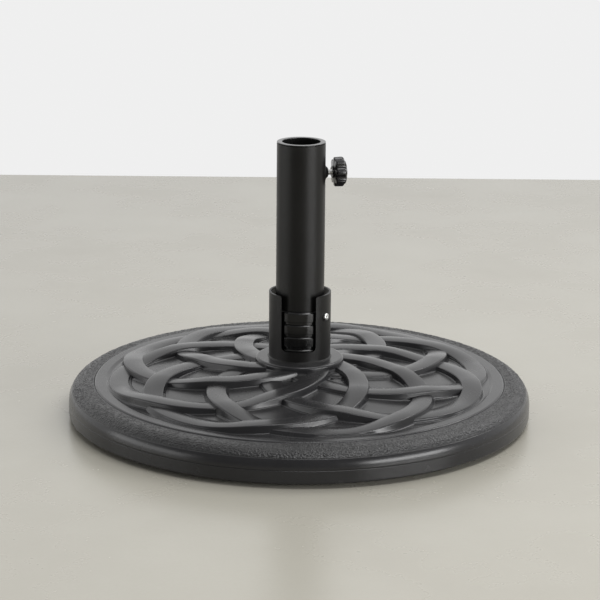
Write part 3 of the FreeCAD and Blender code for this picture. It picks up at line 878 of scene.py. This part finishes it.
@dataclass
class StemScrews:
    """The two pan-headed screws in the cup's sides."""

    height: float = 113.8 * MM
    bearing: float = math.radians(-35.5)
    cup_r: float = 33.4 * MM
    head_r: float = 4.0 * MM
    head_t: float = 2.8 * MM
    shank_r: float = 2.0 * MM
    tip: float = 22.5 * MM
    recess: float = 2.0 * MM
    recess_width: float = 0.7 * MM
    recess_taper: tuple[float, float] = (0.4, 0.7)

    def build(self) -> None:
        """Builds and dresses both screws as one piece."""
        bm = bmesh.new()
        for turn in range(2):
            part = self._screw()
            bearing = self.bearing + turn * math.pi
            place = Matrix.Translation((0, 0, self.height)) @ Matrix.Rotation(bearing, 4, "Z")
            bmesh.ops.transform(part, matrix=place, verts=part.verts)
            add_mesh(bm, part)
        Dresser.dress(finished(bm, "stem_screws_pan"), ZINC, Body.BASE, "stem_screws")

    def _screw(self) -> bmesh.types.BMesh:
        """One screw along the X axis, its domed head outwards with a cross recess."""
        top = self.cup_r + self.head_t
        seat = self.cup_r - 0.4 * MM
        outline = [Corner(0.0, self.tip), Corner(self.shank_r, self.tip, 0.4 * MM),
                   Corner(self.shank_r, seat), Corner(self.head_r, seat),
                   Corner(self.head_r, top - 0.2 * MM, 1.5 * MM), Corner(0.0, top)]
        bm = lathe(rounded(outline, closed=False, steps=6), 48, closed=False)
        screw = finished(turn_to_x(bm), "screw")
        carve(screw, [self._blade(top, quarter * math.pi / 2) for quarter in range(2)])
        bm = bmesh.new()
        bm.from_mesh(screw.data)
        bpy.data.objects.remove(screw)
        return bm

    def _blade(self, top: float, angle: float) -> bpy.types.Object:
        """One arm of the cross recess, tapered towards the tip."""
        bm = bmesh.new()
        bmesh.ops.create_cube(bm, size=1.0)
        size = (2.0 * self.recess, 2.0 * self.recess, self.recess_width)
        bmesh.ops.scale(bm, vec=size, verts=bm.verts)
        along, across = self.recess_taper
        for vert in bm.verts:
            if vert.co.x < 0.0:
                vert.co.y *= along
                vert.co.z *= across
        place = Matrix.Translation((top + 0.4 * MM, 0, 0)) @ Matrix.Rotation(angle, 4, "X")
        return finished(bm, "recess_cutter", place)


# --------------------------------------------------------------------------------------------------
# The clamp screw
# --------------------------------------------------------------------------------------------------
@dataclass
class ClampScrew:
    """The star knob, its stud and pad, and the nut welded to the stem."""

    height: float = 266.4 * MM
    bearing: float = math.radians(15.0)
    stem_r: float = 26.0 * MM
    nut_base: float = 7.5 * MM
    nut_top: float = 5.0 * MM
    nut_out: float = 29.0 * MM
    nut_sink: float = 1.65 * MM
    weld: float = 1.3 * MM
    stud_r: float = 3.0 * MM
    pitch: float = 1.0 * MM
    thread_depth: float = 0.35 * MM
    thread_form: Triple = (0.12, 0.45, 0.62)
    stud_in: float = 22.9 * MM
    stud_out: float = 44.0 * MM
    knob_back: float = 33.7 * MM
    knob_rim: float = 35.9 * MM
    knob_face: float = 48.4 * MM
    knob_r: float = 16.0 * MM
    hub_r: float = 5.9 * MM
    neck_r: float = 7.4 * MM
    lobes: int = 8
    lobe_start: float = math.radians(39.0)
    scoop_r: float = 4.9 * MM
    scoop_at: float = 18.2 * MM
    lobe_blend: float = 0.9 * MM
    rim_edge: float = 1.3 * MM

    @property
    def place(self) -> Matrix:
        """From the X axis to the clamp's place on the stem."""
        return Matrix.Translation((0, 0, self.height)) @ Matrix.Rotation(self.bearing, 4, "Z")

    def build(self) -> None:
        """Builds and dresses the clamp's pieces."""
        Dresser.dress(self._nut(), POWDER_COAT, Body.BASE, "weld_nut")
        # The stud wears the lighter copy of the zinc plate, whose extra lightness is a painted highlight.
        Dresser.dress(self._stud(), ZINC_PAINTED_HIGHLIGHT, Body.KNOB, "clamp_stud")
        Dresser.dress(self._knob(), KNOB_PLASTIC, Body.KNOB, "knob_body")
        Dresser.redress("knob_insert", BRASS)
        Dresser.redress("pressure_pad", ZINC)

    def _nut(self) -> bpy.types.Object:
        """The conical nut, its foot drawn out into a weld that follows the tube."""
        foot = self.stem_r - self.nut_sink
        bore = self.stud_r + 0.05 * MM
        outline = [Corner(bore, foot), Corner(self.nut_base + self.weld, foot, 0.3 * MM),
                   Corner(self.nut_base + 0.9 * MM, self.stem_r + 0.5 * MM, 0.5 * MM),
                   Corner(self.nut_base - 0.6 * MM, self.stem_r + 0.9 * MM, 0.6 * MM),
                   Corner(self.nut_top, self.nut_out, 0.5 * MM), Corner(bore, self.nut_out, 0.3 * MM)]
        bm = turn_to_x(lathe(rounded(outline, steps=4), 72))
        for vert in bm.verts:
            across = math.hypot(vert.co.y, vert.co.z)
            if across > self.nut_top + 0.5 * MM and vert.co.x > foot + 0.4 * MM:
                sink = self.stem_r - math.sqrt(self.stem_r ** 2 - vert.co.y ** 2)
                share = smoothstep((across - self.nut_top) / (self.nut_base - self.nut_top))
                vert.co.x -= sink * share
        return finished(bm, "weld_nut_cone", self.place)

    def _stud(self) -> bpy.types.Object:
        """The threaded rod: a toothed outline spun one turn while it moves on by one pitch."""
        teeth = int((self.stud_out - self.stud_in) / self.pitch)
        root = self.stud_r - self.thread_depth
        rise, top, fall = self.thread_form
        points = []
        for i in range(teeth):
            z = self.stud_in + i * self.pitch
            points += [Vector((root, 0, z)), Vector((root, 0, z + rise * self.pitch)),
                       Vector((self.stud_r, 0, z + top * self.pitch)),
                       Vector((self.stud_r, 0, z + fall * self.pitch))]
        points.append(Vector((root, 0, self.stud_in + teeth * self.pitch)))
        steps = 36
        bm = bmesh.new()
        geom = add_outline(bm, points, closed=False)
        bmesh.ops.spin(bm, geom=geom, cent=(0, 0, 0), axis=UP, angle=FULL_TURN, steps=steps,
                       dvec=(0, 0, -self.pitch / steps), use_merge=False)
        bmesh.ops.remove_doubles(bm, verts=bm.verts, dist=MERGE_WITHIN)
        bmesh.ops.holes_fill(bm, edges=[e for e in bm.edges if e.is_boundary], sides=0)
        bmesh.ops.recalc_face_normals(bm, faces=bm.faces)
        return finished(turn_to_x(bm), "clamp_stud_threaded", self.place)

    def _lobed(self, angle: float) -> float:
        """The knob's radius at an angle: a circle with a scoop between each two lobes."""
        span = FULL_TURN / self.lobes
        off = (angle - self.lobe_start) % span - span / 2.0
        inside = self.scoop_r ** 2 - (self.scoop_at * math.sin(off)) ** 2
        if inside <= 0.0:
            return self.knob_r
        scooped = self.scoop_at * math.cos(off) - math.sqrt(inside)
        mix = max(0.0, min(1.0, 0.5 + (scooped - self.knob_r) / (2 * self.lobe_blend)))
        return scooped * (1 - mix) + self.knob_r * mix - self.lobe_blend * mix * (1 - mix)

    def _knob(self) -> bpy.types.Object:
        """The star knob: hub, flared back and scooped lobes."""
        back, front = self.knob_rim, self.knob_face
        outline = [Corner(self.stud_r + 0.1 * MM, self.knob_back, 0.2 * MM),
                   Corner(self.hub_r, self.knob_back, 0.6 * MM),
                   Corner(self.neck_r, back - 0.6 * MM, 1.5 * MM),
                   Corner(self.knob_r - 0.4 * MM, back + 0.5 * MM, self.rim_edge),
                   Corner(self.knob_r, front - 2.2 * MM, 3.0 * MM),
                   Corner(self.knob_r - 5.5 * MM, front, 3.0 * MM), Corner(0.0, front)]
        points = rounded(outline, closed=False, steps=5)
        points.insert(0, Vector((0.0, 0.0, self.knob_back + 0.4 * MM)))
        bm = lathe(points, 180, closed=False)
        reach = self.neck_r + 1.2 * MM
        for vert in bm.verts:
            radius = math.hypot(vert.co.x, vert.co.y)
            if radius > reach:
                angle = math.atan2(vert.co.y, vert.co.x)
                share = (radius - reach) / (self.knob_r - reach)
                wanted = reach + (self._lobed(angle) - reach) * share
                vert.co.x *= wanted / radius
                vert.co.y *= wanted / radius
        return finished(turn_to_x(bm), "star_knob", self.place)


# --------------------------------------------------------------------------------------------------
# The studio
# --------------------------------------------------------------------------------------------------
@dataclass
class Studio:
    """The pale floor, the soft light and the camera."""

    eye: Triple = (0.0, -2.3507, 0.7546)
    pitch: float = math.radians(14.95)
    roll: float = math.radians(0.5)
    lens: float = 135.3
    floor_far: float = 1.25
    floor_near: float = -6.0
    floor_side: float = 4.0
    backdrop: float = 0.865
    room: dict[str, float] = field(default_factory=lambda: {
        "From Min": -0.6, "From Max": 0.6, "To Min": 0.14, "To Max": 1.02})
    aim: Triple = (0.0, 0.0, 0.1)

    def build(self) -> None:
        """Sets up the floor, the surroundings, the lights and the camera."""
        self._floor()
        self._surroundings()
        self._lamp("key_light", (1.56, 0.91, 1.87), (0.8, 0.8), 11.0)
        self._lamp("right_light", (2.0, -1.56, 0.59), (1.9, 0.6), 42.0)
        self._lamp("left_light", (-2.5, -0.67, 0.50), (2.2, 0.8), 14.0)
        self._lamp("top_light", (0.62, -0.78, 2.3), (1.8, 0.7), 23.0)
        self._camera()
        scene = bpy.context.scene
        scene.view_settings.view_transform = "Standard"
        scene.view_settings.look = "None"

    def _floor(self) -> None:
        """A pale, faintly polished floor."""
        bm = bmesh.new()
        bmesh.ops.create_grid(bm, x_segments=1, y_segments=1, size=1.0)
        middle = (self.floor_far + self.floor_near) / 2
        scale = (self.floor_side, (self.floor_far - self.floor_near) / 2, 1.0)
        bmesh.ops.scale(bm, vec=scale, verts=bm.verts)
        floor = finished(bm, "floor", Matrix.Translation((0, middle, 0)))
        floor.data.materials.append(Dresser.material(PALE_FLOOR))

    def _surroundings(self) -> None:
        """A pale room, brighter behind the object and overhead than behind the camera."""
        world = bpy.data.worlds.new("studio")
        bpy.context.scene.world = world
        world.use_nodes = True
        tree = world.node_tree
        where = add_node(tree, "TexCoord").outputs["Generated"]
        split = add_node(tree, "SeparateXYZ")
        tree.links.new(where, split.inputs[0])
        behind = add_node(tree, "MapRange", interpolation_type="SMOOTHSTEP")
        for label, value in self.room.items():
            behind.inputs[label].default_value = value
        tree.links.new(split.outputs["Y"], behind.inputs["Value"])
        seen = add_node(tree, "LightPath").outputs["Is Camera Ray"]
        choice = add_node(tree, "Mix")
        choice.inputs[3].default_value = self.backdrop
        tree.links.new(seen, choice.inputs["Factor"])
        tree.links.new(behind.outputs[0], choice.inputs[2])
        background = tree.nodes["Background"]
        background.inputs["Color"].default_value = (1.0, 1.0, 1.0, 1.0)
        tree.links.new(choice.outputs[0], background.inputs["Strength"])

    def _lamp(self, name: str, at: Triple, size: tuple[float, float], power: float) -> None:
        """Adds a soft rectangular lamp aimed at the object."""
        light = bpy.data.lights.new(name, "AREA")
        light.shape = "RECTANGLE"
        light.size, light.size_y = size
        light.energy = power
        lamp = bpy.data.objects.new(name, light)
        lamp.location = at
        lamp.rotation_euler = (Vector(self.aim) - Vector(at)).to_track_quat("-Z", "Y").to_euler()
        bpy.context.scene.collection.objects.link(lamp)

    def _camera(self) -> None:
        """Adds the camera, level with a long lens and a slight roll."""
        data = bpy.data.cameras.new("camera")
        data.lens = self.lens
        camera = bpy.data.objects.new("camera", data)
        tilt = Matrix.Rotation(math.pi / 2 - self.pitch, 4, "X") @ Matrix.Rotation(self.roll, 4, "Z")
        camera.matrix_world = Matrix.Translation(self.eye) @ tilt
        bpy.context.scene.collection.objects.link(camera)
        bpy.context.scene.camera = camera


def main() -> None:
    """Builds the sub-assemblies in order."""
    logging.basicConfig(level=logging.INFO, format="%(name)s %(message)s")
    for part in (Studio(), WovenDisc(), Underside(), Cup(), RibbedSleeve(), Stem(), StemScrews(),
                 ClampScrew()):
        part.build()
        LOG.info("%s done", type(part).__name__)


if __name__ == "__main__":
    main()
